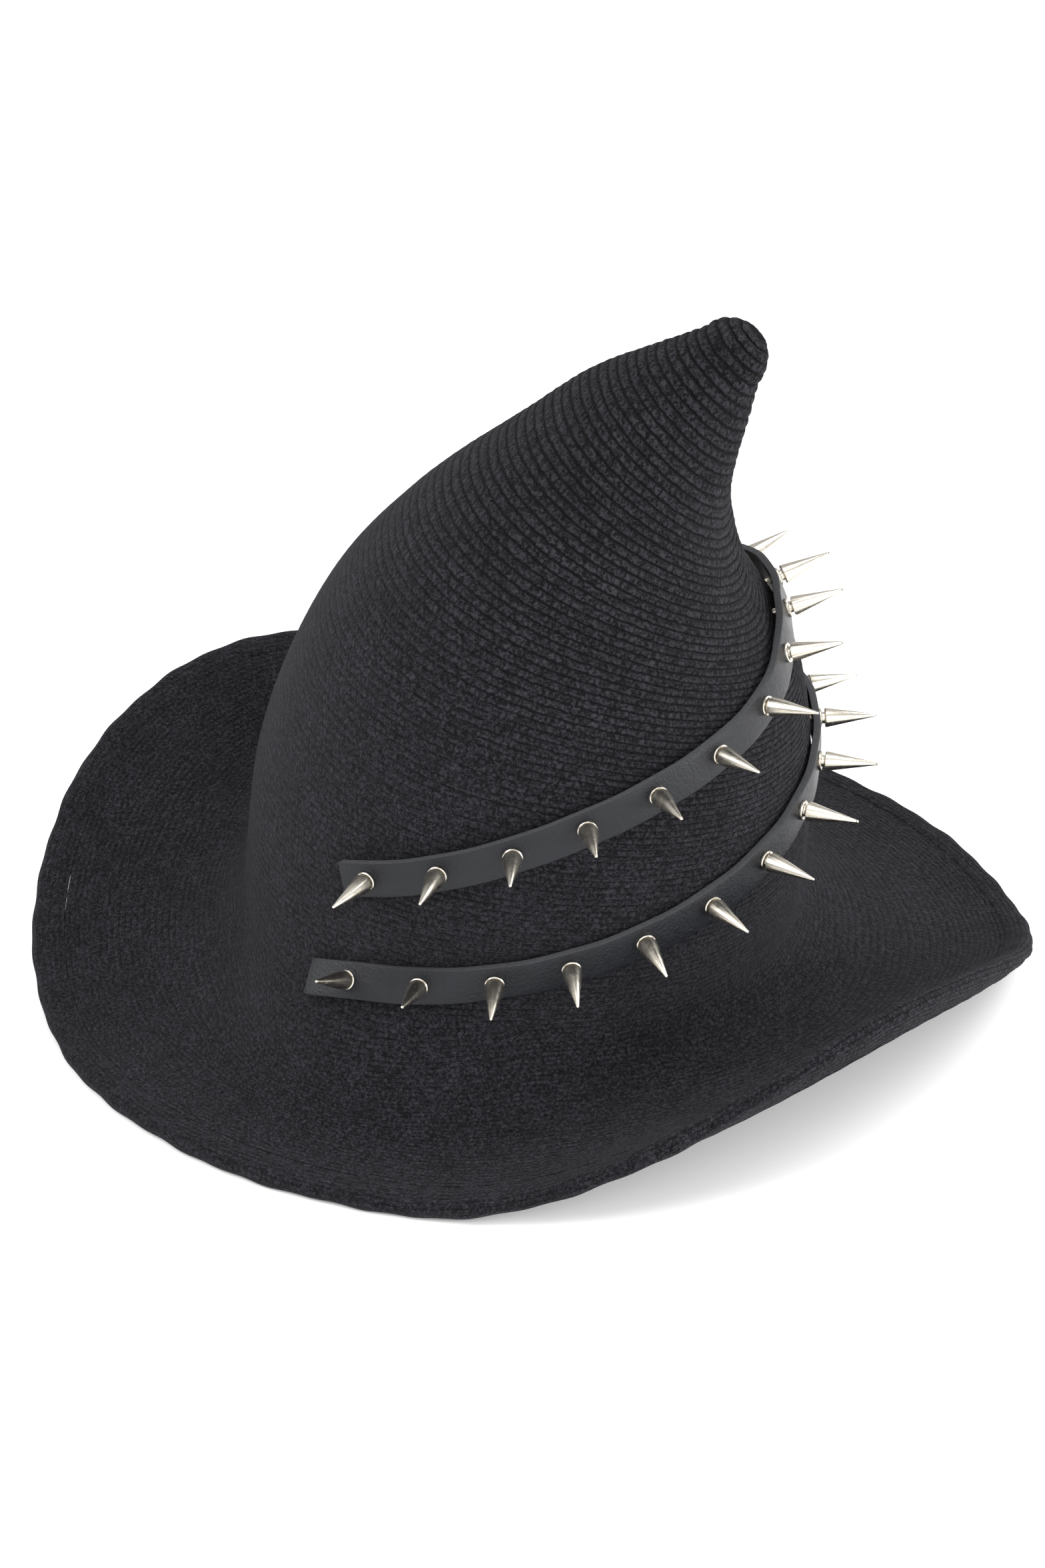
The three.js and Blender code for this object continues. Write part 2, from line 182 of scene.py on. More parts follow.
def crown_point(place, angle, share=1.0, inset=0.0):
    """Points of the crown. Angle 0 is the face and 90 degrees the wearer's left."""
    h = shape()
    place, angle = np.broadcast_arrays(np.asarray(place, float), np.asarray(angle, float))
    ring = np.minimum(place, LAST)
    beyond = (place - ring) * h.half_length * GIRTH[-1]
    tilt = np.radians(along(TILT, ring))
    height = h.crown_height * along(RISE, ring)
    # The foot of the crown is pulled out at the temples.
    pull, pull_height = 0.011, 0.025
    spread = pull * np.maximum(0, 1 - height / pull_height) ** 2 * at_temple(angle)
    half_length = share * (h.half_length * along(GIRTH, ring) + spread - inset)
    half_width = share * (h.half_width * along(WIDTH, ring) + spread - inset)
    c, s = oval(angle)
    return np.stack([
        half_width * s,
        along(LEAN, ring) - half_length * c * np.cos(tilt) + beyond * np.sin(tilt),
        h.head_line + height + half_length * c * np.sin(tilt) + beyond * np.cos(tilt),
    ], -1)


def unit(v):
    return v / np.maximum(np.linalg.norm(v, axis=-1, keepdims=True), 1e-12)


def crown_normal(place, angle):
    step = 0.01
    up = crown_point(place + step, angle) - crown_point(place - step, angle)
    around = crown_point(place, angle + step) - crown_point(place, angle - step)
    return unit(np.cross(around, up))


def place_at_height(angle, height):
    angle, height = np.broadcast_arrays(np.asarray(angle, float), np.asarray(height, float))
    low, high = np.zeros(angle.shape), np.full(angle.shape, float(LAST))
    for _ in range(40):
        middle = (low + high) / 2
        under = crown_point(middle, angle)[..., 2] < height
        low, high = np.where(under, middle, low), np.where(under, high, middle)
    return low


def brim_point(share, angle, height=0.0, past=0.0):
    """Points of the brim. Share runs from 0 at the head line to 1 at the hem's fold, height is
    over the middle of the fabric, and past goes on along the end of the curve."""
    h = shape()
    share, angle, height, past = np.broadcast_arrays(
        *(np.asarray(v, float) for v in (share, angle, height, past)))
    start = crown_point(0, angle)
    forward = np.cos(angle)
    corner = 0.006 * bump(angle, 180, 45)       # the back is drawn out to a blunt corner
    reach = np.where(forward > 0, h.brim_front, h.brim_back + corner)
    end = np.stack([(h.half_width + h.brim_side) * np.sin(angle),
                    -(h.half_length + reach) * forward], -1)
    out = end - start[..., :2]
    run = np.linalg.norm(out, axis=-1) - h.hem_thickness / 2
    out = unit(out)
    curl = np.radians(sum(l[3] * bump(angle, l[0], l[1]) for l in LOBES))
    edge = h.hem_thickness / 2 + h.brim_rise * sum(l[2] * bump(angle, l[0], l[1]) for l in LOBES)
    down = start - crown_point(0.02, angle)
    slope = (down[..., 0] * out[..., 0] + down[..., 1] * out[..., 1]) / down[..., 2]
    zero = np.zeros_like(run)
    # A curve that leaves along the crown's side and arrives along the curled edge.
    leave, arrive = 0.022, 0.035
    p = [np.stack(v, -1) for v in (
        (zero, zero + h.head_line),
        (-leave * slope, zero + h.head_line - leave),
        (run - arrive * np.cos(curl), edge - arrive * np.sin(curl)),
        (run, edge))]
    t = share[..., None]
    at = ((1 - t) ** 3 * p[0] + 3 * t * (1 - t) ** 2 * p[1]
          + 3 * t * t * (1 - t) * p[2] + t ** 3 * p[3])
    way = unit((1 - t) ** 2 * (p[1] - p[0]) + 2 * t * (1 - t) * (p[2] - p[1])
               + t * t * (p[3] - p[2]))
    level = at[..., 0] - way[..., 1] * height + way[..., 0] * past
    up = at[..., 1] + way[..., 0] * height + way[..., 1] * past
    return np.concatenate([start[..., :2] + out * level[..., None], up[..., None]], -1)


# ---- Making pieces ----

def edit(select="SELECT"):
    bpy.ops.object.mode_set(mode="EDIT")
    bpy.ops.mesh.select_all(action=select)


def stop_editing():
    bpy.ops.object.mode_set(mode="OBJECT")


def clear_selection():
    if bpy.context.mode != "OBJECT":
        stop_editing()
    bpy.ops.object.select_all(action="DESELECT")


def named(name):
    """The piece just added, under its own name."""
    piece = bpy.context.object
    piece.name = piece.data.name = name
    return piece


def only(piece):
    clear_selection()
    piece.select_set(True)
    bpy.context.view_layer.objects.active = piece


def place_of(mesh):
    """Where the corners of a mesh are."""
    flat = np.empty(len(mesh.vertices) * 3)
    mesh.vertices.foreach_get("co", flat)
    return flat.reshape(-1, 3)


def face_outward():
    edit()
    bpy.ops.mesh.normals_make_consistent(inside=False)
    stop_editing()


def walked(points):
    """Distance from the start of a path to each of its points."""
    return np.concatenate([[0], np.cumsum(np.linalg.norm(np.diff(points, axis=0), axis=1))])


def mixed(at, passed, table):
    """Rows of a table at distances between the ones passed."""
    return np.stack([np.interp(at, passed, table[:, k]) for k in range(3)], -1)


def ridge(v):
    """Height of a knitted course at v, counted in courses: 0 in the groove, 1 on its back."""
    return np.abs(np.sin(np.pi * v)) ** 0.8


def rolled_sheet(name, columns, rows, placed, uv):
    """A flat grid rolled round the hat. placed(u, v) gives the points, uv(u, v, points) the
    place of each corner in the knit, in stitches and courses."""
    clear_selection()
    bpy.ops.mesh.primitive_grid_add(x_subdivisions=columns, y_subdivisions=rows, size=1)
    piece = named(name)
    mesh = piece.data
    flat = place_of(mesh)
    u = np.round((flat[:, 0] + 0.5) * columns).astype(int)
    v = np.round((flat[:, 1] + 0.5) * rows).astype(int)
    points = placed(u, v)
    mesh.vertices.foreach_set("co", points.astype(np.float32).ravel())
    corners = np.empty(len(mesh.loops), int)
    mesh.loops.foreach_get("vertex_index", corners)
    mesh.uv_layers[0].name = "Stitches"
    mesh.uv_layers[0].data.foreach_set("uv", uv(u, v, points)[corners].astype(np.float32).ravel())
    edit()
    bpy.ops.mesh.remove_doubles(threshold=2e-6)
    face_outward()
    bpy.ops.object.shade_smooth_by_angle(angle=math.radians(72))
    return piece


def finish_piece(piece, replaced=(), material=None):
    if material:
        piece.data.materials.clear()
        piece.data.materials.append(material)
    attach(piece, "root")
    if replaced:
        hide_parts(*replaced)
    return piece


def copy_of(piece, name, matrix):
    twin = piece.copy()
    twin.data = piece.data.copy()
    twin.name = twin.data.name = name
    bpy.context.scene.collection.objects.link(twin)
    twin.data.transform(matrix)
    return twin


def turned(name, profile, sides):
    """A turned piece along +Z: a disc extruded and scaled from one radius to the next."""
    clear_selection()
    (radius, height), rest = profile[0], profile[1:]
    bpy.ops.mesh.primitive_circle_add(
        vertices=sides, radius=radius, fill_type="NGON", location=(0, 0, height))
    piece = named(name)
    bpy.ops.object.transform_apply(location=True)
    edit()
    for next_radius, next_height in rest:
        bpy.ops.mesh.extrude_region_move(
            TRANSFORM_OT_translate={"value": (0, 0, next_height - height)})
        scale = next_radius / radius
        bpy.ops.transform.resize(value=(scale, scale, 1), center_override=(0, 0, next_height))
        radius, height = next_radius, next_height
    face_outward()
    return piece


# ---- Materials ----

def tint(colour, factor):
    """A colour made darker or lighter."""
    return [c * factor for c in colour[:3]] + [1]


class Nodes:
    """Short ways to lay out a material's nodes. A value is a socket, a number or a tuple."""

    def __init__(self, name):
        self.material = bpy.data.materials.new(name)
        self.material.use_nodes = True
        self.tree = self.material.node_tree
        self.shader = self.tree.nodes["Principled BSDF"]

    def put(self, value, socket):
        if isinstance(value, bpy.types.NodeSocket):
            self.tree.links.new(value, socket)
        elif value is not None:
            socket.default_value = value

    def add(self, kind, inputs, **settings):
        node = self.tree.nodes.new(kind)
        for key, value in settings.items():
            setattr(node, key, value)
        for key, value in inputs.items():
            self.put(value, node.inputs[key])
        return node

    def set(self, **values):
        """Set or join the shader's own inputs."""
        for key, value in values.items():
            self.put(value, self.shader.inputs[key.replace("_", " ")])

    def math(self, operation, a, b=None, clamp=False):
        node = self.add("ShaderNodeMath", {0: a, 1: b}, operation=operation, use_clamp=clamp)
        return node.outputs[0]

    def times(self, a, b, clamp=False):
        return self.math("MULTIPLY", a, b, clamp)

    def plus(self, a, b, clamp=False):
        return self.math("ADD", a, b, clamp)

    def minus(self, a, b, clamp=False):
        return self.math("SUBTRACT", a, b, clamp)

    def wave(self, value):
        """0 at each whole number and 1 halfway between."""
        return self.math("ABSOLUTE", self.math("SINE", self.times(value, math.pi)))

    def place(self):
        return self.add("ShaderNodeTexCoord", {}).outputs["Object"]

    def attribute(self, name):
        return self.add("ShaderNodeAttribute", {}, attribute_name=name).outputs["Vector"]

    def parts(self, vector):
        return self.add("ShaderNodeSeparateXYZ", {0: vector}).outputs

    def stitches(self):
        """The place in the knit or weave: counted across, and along the courses."""
        return self.parts(self.add("ShaderNodeUVMap", {}, uv_map="Stitches").outputs["UV"])[:2]

    def noise(self, vector, scale, detail=2.0, roughness=0.5):
        inputs = dict(Vector=vector, Scale=scale, Detail=detail, Roughness=roughness)
        return self.add("ShaderNodeTexNoise", inputs).outputs["Fac"]

    def cells(self, vector, scale, feature="F1", randomness=1.0):
        inputs = dict(Vector=vector, Scale=scale, Randomness=randomness)
        return self.add("ShaderNodeTexVoronoi", inputs, feature=feature).outputs["Distance"]

    def steps(self, value, stops):
        """A colour ramp from (position, colour) stops; a colour may be a single grey."""
        node = self.add("ShaderNodeValToRGB", {"Fac": value})
        ramp = node.color_ramp
        while len(ramp.elements) < len(stops):
            ramp.elements.new(0.5)
        for element, (position, shade) in zip(ramp.elements, stops):
            element.position = position
            grey = isinstance(shade, (int, float))
            element.color = (shade,) * 3 + (1,) if grey else tuple(shade)
        return node.outputs["Color"]

    def blend(self, factor, a, b, kind="MIX"):
        node = self.add("ShaderNodeMix", {}, data_type="RGBA", blend_type=kind)
        for socket, value in ((0, factor), (6, a), (7, b)):
            self.put(value, node.inputs[socket])
        return node.outputs[2]

    def relief(self, height, distance, strength=1.0, under=None):
        inputs = dict(Height=height, Distance=distance, Strength=strength, Normal=under)
        return self.add("ShaderNodeBump", inputs).outputs["Normal"]


def wool_knit():
    """Knitted wool: staggered stitches in courses, matted and fuzzy, with stray hairs."""
    look = knit_look()
    n = Nodes("wool_knit")
    across, courses = n.stitches()
    place = n.place()
    # Each course is shifted half a stitch on the one below, and every yarn wanders a little.
    wander = n.times(n.minus(n.noise(place, 260, 3), 0.5), 1.5)
    row = n.math("FLOOR", n.plus(courses, n.times(wander, 0.25)))
    stitch = n.add("ShaderNodeCombineXYZ", {
        0: n.plus(n.plus(across, n.times(row, 0.5)), wander),
        1: n.plus(courses, n.times(wander, 0.3))}).outputs[0]
    loop = n.minus(1.0, n.times(n.cells(stitch, 1.0, randomness=0.45), 1.45), clamp=True)
    back = n.times(n.wave(n.plus(courses, n.times(wander, 0.30))), 1.8, clamp=True)
    # The grooves are open where the crown is bent. Lower down they are brushed shut in patches.
    behind, height = n.parts(place)[1:]
    bent = n.plus(n.times(height, 5.0), n.times(behind, 4.0))
    upper = n.times(n.minus(bent, 0.42), 1.5, clamp=True)
    matted = n.times(n.minus(n.noise(place, 190, 3, 0.6), 0.38), 3.0, clamp=True)
    groove = n.times(n.minus(1.0, back), n.math("MAXIMUM", matted, upper))
    whole = n.minus(n.plus(n.times(loop, 0.36), 0.64),
                    n.times(groove, n.plus(n.times(upper, 0.30), 0.62)))
    opened = n.plus(n.times(n.minus(bent, 0.45, clamp=True), 0.95), 0.45)
    opened = n.times(opened, n.plus(n.noise(place, 70, 3, 0.6), 0.45))
    body = n.plus(n.times(n.minus(whole, 0.70), opened), 0.62)
    fibre = n.noise(place, 2300, 4, 0.7)
    fuzz = n.times(n.minus(n.noise(place, 880, 4, 0.7), 0.34), 3.1, clamp=True)
    lively = n.plus(n.times(opened, 0.60), 0.24, clamp=True)
    fuzz = n.plus(n.times(n.minus(fuzz, 0.5), lively), 0.5)
    stitched = n.relief(n.plus(body, n.times(fuzz, 0.55)), 0.0013)
    # Painted shade darkens the grooves, painted light greys the fuzzy tops; uneven from place to
    # place.
    tops = n.plus(n.times(body, 0.56), n.times(fuzz, 0.36))
    lit = n.steps(n.plus(tops, n.times(n.minus(fibre, 0.5), 0.5)),
                  [(0.36, tint(look.wool, 0.08)), (0.50, look.wool), (0.67, look.fluff)])
    uneven = n.steps(n.noise(place, 45, 3, 0.6), [(0.3, 0.82), (0.7, 1.12)])
    hairs = n.steps(n.noise(place, 1500, 1, 0.4), [(0.66, 0.0), (0.76, 1.0)])
    n.set(Base_Color=n.blend(n.times(hairs, 0.35), n.blend(1.0, lit, uneven, "MULTIPLY"),
                             tint(look.fluff, 1.9)),
          Normal=n.relief(fibre, 0.00030, 0.8, under=stitched),
          Roughness=0.92, Sheen_Weight=0.075, Sheen_Roughness=0.40,
          Sheen_Tint=(0.62, 0.62, 0.68, 1), Specular_IOR_Level=0.07)
    return n.material


def faux_leather():
    """Coated leather: fine pebble grain, a blue-grey sheen and a few handling creases."""
    leather = strap_look().leather
    n = Nodes("strap_leather")
    flat = n.attribute("flat_place")
    grain = n.cells(flat, 1250, "SMOOTH_F1")
    pores = n.cells(flat, 2300, "DISTANCE_TO_EDGE")
    soft = n.noise(flat, 140, 3, 0.55)
    stretched = n.add("ShaderNodeMapping", dict(Vector=flat, Scale=(1.0, 0.16, 1.0))).outputs[0]
    creases = n.steps(n.noise(stretched, 420, 2, 0.5), [(0.30, 0.0), (0.38, 1.0)])
    pebbled = n.relief(n.plus(n.times(grain, 0.7), n.times(pores, 0.5)), 0.00025, 0.7)
    n.set(Base_Color=n.steps(soft, [(0.30, tint(leather, 0.80)), (0.72, tint(leather, 1.25))]),
          Normal=n.relief(n.plus(creases, soft), 0.00020, 0.35, under=pebbled),
          Roughness=n.steps(n.plus(n.times(soft, 0.8), n.times(grain, 0.3)),
                            [(0.3, 0.33), (0.8, 0.47)]),
          Specular_IOR_Level=0.28)
    return n.material


def cut_edge():
    """The raw edge of the strap: matt backing under a thin glossy skin."""
    edge = strap_look().edge
    n = Nodes("strap_cut_edge")
    layers = n.noise(n.attribute("flat_place"), 1800, 3, 0.7)
    n.set(Base_Color=n.steps(layers, [(0.3, tint(edge, 0.6)), (0.75, tint(edge, 1.5))]),
          Normal=n.relief(layers, 0.00012, 0.6), Roughness=0.7, Specular_IOR_Level=0.35)
    return n.material


def polished_nickel(name="polished_nickel", roughness=0.25):
    """Nickel plate: fine turning marks, a little haze and tarnish."""
    nickel = strap_look().nickel
    n = Nodes(name)
    place = n.place()
    haze = n.noise(place, 350, 3, 0.6)
    n.set(Base_Color=n.steps(haze, [(0.3, tint(nickel, 0.93)), (0.7, nickel)]),
          Roughness=n.steps(haze, [(0.3, roughness * 0.85), (0.75, roughness * 1.2)]),
          Normal=n.relief(n.noise(place, 1800, 1), 0.00001, 0.10), Metallic=1.0)
    return n.material


def grosgrain():
    """Ribbed ribbon: cords up and down, crossed by fine threads."""
    ribbon = knit_look().ribbon
    n = Nodes("grosgrain_ribbon")
    cords, threads = (n.wave(count) for count in n.stitches())
    height = n.plus(n.times(cords, 0.8), n.times(threads, 0.3))
    # Painted shade darkens the hollows between the cords; painted light brightens their tops.
    n.set(Base_Color=n.steps(n.times(height, n.plus(n.noise(n.place(), 800), 0.5)),
                             [(0.1, tint(ribbon, 0.5)), (0.9, tint(ribbon, 1.8))]),
          Normal=n.relief(height, 0.0003, 0.8),
          Roughness=0.6, Sheen_Weight=0.15, Specular_IOR_Level=0.3)
    return n.material


def drawn_wire():
    """Bare steel wire with drawing marks."""
    n = Nodes("drawn_wire")
    place = n.place()
    n.set(Base_Color=n.steps(n.noise(place, 900, 3), [(0.3, 0.22), (0.8, 0.4)]),
          Normal=n.relief(n.noise(place, 3000, 2), 0.00003, 0.4), Metallic=1.0, Roughness=0.38)
    return n.material


def sewing_thread():
    """Twisted black thread."""
    n = Nodes("sewing_thread")
    twist = n.noise(n.place(), 3000, 2)
    n.set(Base_Color=n.steps(twist, [(0.3, (0.003, 0.003, 0.004, 1)),
                                     (0.8, (0.012, 0.012, 0.014, 1))]),
          Normal=n.relief(twist, 0.0001, 0.5), Roughness=0.8, Specular_IOR_Level=0.15)
    return n.material


def material(name, maker, *arguments):
    return bpy.data.materials.get(name) or maker(*arguments)


# ---- Knitted pieces ----

SIDE = math.radians(90)         # the stitches are counted from the wearer's left
BRIM_COURSE = 0.0019            # spacing of the courses in the brim and its hem
SEAM_INSET = 0.0011             # from the hem's inner edge to the line it is sewn along
THREAD = dict(pitch=0.0032, stitch=0.0022, radius=0.00028)


def ring_angles(columns):
    return SIDE - math.pi + 2 * math.pi * np.arange(columns + 1) / columns


def stitches_round(points, rows, columns, u, v):
    """Stitches from the wearer's left to each corner, counted along its own ring."""
    grid = points.reshape(rows + 1, columns + 1, 3)
    steps = np.linalg.norm(np.diff(grid, axis=1), axis=2)
    passed = np.concatenate([np.zeros((rows + 1, 1)), np.cumsum(steps, axis=1)], 1)
    passed -= passed[:, columns // 2][:, None]
    return passed[v, u] / knit_look().stitch


def rows_by_course(places, points, spacing, per_course=4):
    """Places along a path at an even number of rows for each course, and their courses."""
    steps = np.linalg.norm(np.diff(points, axis=0), axis=1)
    counted = np.concatenate([[0], np.cumsum(steps / spacing)])
    whole = round(counted[-1])
    rows = np.arange(whole * per_course + 1) / per_course
    return np.interp(rows * counted[-1] / whole, counted, places), rows


def tip_share(place):
    """How much of the last ring's size the rounded tip still has."""
    return np.sqrt(np.maximum(0, 1 - np.clip(place - LAST, 0, 1) ** 2))


class OBJECT_OT_hat_crown(bpy.types.Operator):
    """Knit the bent crown, course by course, with its wall and closed tip"""
    bl_idname = "object.hat_crown"
    bl_label = "Crown"

    def execute(self, context):
        h, look = shape(), knit_look()
        columns, lining = 216, 36
        fine = np.linspace(0, LAST + 0.97, 800)
        places, courses = rows_by_course(fine, crown_point(fine, SIDE, tip_share(fine)),
                                         along(COURSE, np.minimum(fine, LAST))[1:])
        outer = len(places)
        inner = np.linspace(LAST - 0.25, 0, lining)
        rows = lining + outer
        angles = ring_angles(columns)

        def placed(u, v):
            angle = angles[u]
            # Inside: from the middle of the inner tip down to the head line.
            at_in = inner[np.minimum(v, lining - 1)]
            points_in = crown_point(at_in, angle, np.where(v == 0, 0.0, 1.0), h.wall)
            # Outside: up again, and over the tip to its middle.
            k = np.clip(v - lining, 0, outer - 1)
            at_out = places[k]
            points_out = crown_point(at_out, angle, tip_share(at_out))
            middle = crown_point(np.full_like(at_out, LAST + 1.0), angle, 0.0)
            points_out = np.where((v == rows)[:, None], middle, points_out)
            normal = crown_normal(np.clip(at_out, 0.02, LAST - 0.02), angle)
            return np.where((v < lining)[:, None], points_in,
                            points_out + normal * np.where(v == rows, 0, lift(k, angle))[:, None])

        def lift(k, angle):
            """How far the knit stands over the smooth crown."""
            place, course = places[k], courses[k]
            # The grooves are deep at the bend and at the back, and uneven from stitch to stitch.
            back = np.clip(0.5 - 0.7 * np.cos(angle), 0, 1)
            depth = look.ridge * np.clip(0.06 + 0.24 * np.maximum(0, place - 1.4)
                                         + 0.50 * back * np.clip(place, 0, 1), 0, 1.1)
            depth = depth * (0.65 + 0.35 * np.sin(31 * angle + 5.3 * place)
                             * np.sin(17 * angle - 11 * place))
            # The yarn wanders: each course stands a little higher or lower as it goes round.
            uneven = (0.10 * np.sin(43 * angle + 2.3 * course)
                      + 0.08 * np.sin(71 * angle - 1.7 * course))
            wave = (0.00035 * np.sin(3 * angle + 2.1 * place)
                    + 0.00025 * np.sin(5 * angle - 3.3 * place))
            fade = np.clip(place * 4, 0, 1) * np.clip((LAST + 0.8 - place) * 2, 0, 1)
            return (ridge(course) - 0.5 + uneven) * depth + (0.0003 + wave) * fade

        def uv(u, v, points):
            course = np.where(v >= lining, courses[np.clip(v - lining, 0, outer - 1)],
                              -np.abs(v - lining + 1) * 2.2)
            return np.stack([stitches_round(points, rows, columns, u, v), course], -1)

        crown = rolled_sheet("crown_knit", columns, rows, placed, uv)
        finish_piece(crown, ["crown"], material("wool_knit", wool_knit))
        return {"FINISHED"}


class OBJECT_OT_hat_brim(bpy.types.Operator):
    """Knit the wavy brim, from the head line out to its hem"""
    bl_idname = "object.hat_brim"
    bl_label = "Brim"

    def execute(self, context):
        h, look = shape(), knit_look()
        columns, below = 300, 56
        fine = np.linspace(0, 1, 300)
        places, courses = rows_by_course(fine, brim_point(fine, SIDE), BRIM_COURSE)
        above = len(places)
        under = np.linspace(1, 0, below)
        rows = above + below
        angles = ring_angles(columns)
        inner = h.hem_width - h.hem_thickness / 2 + 0.0001

        def placed(u, v):
            # Out over the top, back underneath, and up again to the first ring.
            angle = angles[u]
            last = v == rows
            top = (v < above) | last
            k = np.where(last, 0, np.minimum(v, above - 1))
            share = np.where(top, places[k], under[np.clip(v - above, 0, below - 1)])
            lift = (ridge(courses[k]) - 0.5) * look.ridge * 0.10
            wave = (0.0004 * np.sin(4 * angle + 5 * share)
                    * np.clip(share * 4, 0, 1) * np.clip((1 - share) * 6, 0, 1))
            height = share * h.hem_thickness / 2 + np.where(top, lift, -h.wall) + wave
            return brim_point(share, angle, height, -share * inner)

        def uv(u, v, points):
            course = np.where(v < above, -courses[np.minimum(v, above - 1)],
                              -courses[-1] + (v - above) / below * courses[-1])
            course = np.where(v == rows, 0, course)
            return np.stack([stitches_round(points, rows, columns, u, v), course], -1)

        brim = rolled_sheet("brim_knit", columns, rows, placed, uv)
        finish_piece(brim, ["brim"], material("wool_knit", wool_knit))
        return {"FINISHED"}


class OBJECT_OT_hat_hem(bpy.types.Operator):
    """Fold the brim's edge over its wire"""
    bl_idname = "object.hat_hem"
    bl_label = "Hem"

    def execute(self, context):
        self.fold()
        self.wire()
        return {"FINISHED"}

    def fold(self):
        h, look = shape(), knit_look()
        columns = 420
        half, reach = h.hem_thickness / 2, h.hem_width - h.hem_thickness / 2
        # The section, outward and up from the middle of the fold: over the top, round the
        # fold, back underneath, and then along the inside round the wire.
        flat = np.linspace(-reach, 0, 20)
        turn = np.linspace(math.pi / 2, -math.pi / 2, 27)[1:-1]
        dip = 0.00035 * np.exp(-((flat + reach - SEAM_INSET) / 0.0010) ** 2)
        top = half + 0.00025 * np.sin(np.pi * (flat + reach) / reach) - dip
        outside = np.concatenate([
            np.stack([flat, top], 1),
            np.stack([half * np.cos(turn), half * np.sin(turn)], 1),
            np.stack([flat, -top], 1)[::-1]])
        room = h.wire / 2 + 0.0003
        bore = np.linspace(-0.75 * math.pi, 0.75 * math.pi, 9)
        slit = 0.0002
        inside = np.concatenate([
            [[-reach, -slit], [-reach / 2, -slit]],
            np.stack([room * np.cos(bore), room * np.sin(bore)], 1),
            [[-reach / 2, slit], [-reach, slit]]])
        section = np.concatenate([outside, inside, outside[:1]])
        courses = walked(section) / BRIM_COURSE
        rows, skin_rows = len(section) - 1, len(outside)
        facing = unit(np.stack([np.gradient(section[:, 1]), -np.gradient(section[:, 0])], 1))
        angles = ring_angles(columns)

        def placed(u, v):
            angle = angles[u]
            x, y = section[v].T
            # The outside is a little rough, firm at the fold and gathered along the seam.
            rough = (0.00035 * np.sin(23 * angle) * np.sin(9 * angle + 1)
                     + 0.0002 * np.sin(61 * angle + 2 * v / skin_rows))
            firm = np.clip((x + reach) / reach * 1.5, 0, 1)
            near_seam = np.exp(-((x + reach - SEAM_INSET) / 0.0016) ** 2)
            gather = 0.00022 * np.sin(angle * 330) * near_seam
            lift = (ridge(courses[v]) - 0.5) * look.ridge * 0.15 + rough * firm + gather
            lift = np.where(v < skin_rows, lift, 0)
            points = brim_point(1.0, angle, y - facing[v, 1] * lift, x - facing[v, 0] * lift)
            points[:, 2] = np.maximum(points[:, 2], 0)      # it rests flat on the table
            return points

        def uv(u, v, points):
            return np.stack([stitches_round(points, rows, columns, u, v), courses[v]], -1)

        hem = rolled_sheet("hem_fold", columns, rows, placed, uv)
        finish_piece(hem, ["brim_hem"], material("wool_knit", wool_knit))

    def wire(self):
        radius, sides, steps = shape().wire / 2, 12, 360
        turns, angles = (2 * math.pi * np.arange(n + 1) / n for n in (sides, steps))
        wire = rolled_sheet(
            "hem_wire", steps, sides,
            lambda u, v: brim_point(1.0, angles[u], radius * np.sin(turns[v]),
                                    radius * np.cos(turns[v])),
            lambda u, v, points: np.stack([u / steps, v / sides], -1))
        finish_piece(wire, ["brim_wire"], material("drawn_wire", drawn_wire))


class OBJECT_OT_hat_stitching(bpy.types.Operator):
    """Sew the hem and the sweatband with short stitches of black thread"""
    bl_idname = "object.hat_stitching"
    bl_label = "Stitching"

    def execute(self, context):
        h = shape()
        fine = np.linspace(0, 2 * math.pi, 1441)
        line = -(h.hem_width - h.hem_thickness / 2) + SEAM_INSET
        sunk = h.hem_thickness / 2 - 0.00055
        for name, height in (("hem_stitches_top", sunk), ("hem_stitches_under", -sunk)):
            path = brim_point(1.0, fine, height, line)
            out = unit(brim_point(1.0, fine, height + math.copysign(0.001, height), line) - path)
            self.sew(name, path, out, "knit")
        low = crown_point(0, fine, 1, h.wall + 0.0016)
        low[:, 2] -= 0.0025
        out = unit(crown_point(0, fine, 0.5) - crown_point(0, fine))
        self.sew("sweatband_stitches", low, out, "ribbon")
        return {"FINISHED"}

    def sew(self, name, path, out, slot):
        thread = material("sewing_thread", sewing_thread)
        finish_piece(sewn_line(name, path, out, **THREAD), material=thread)


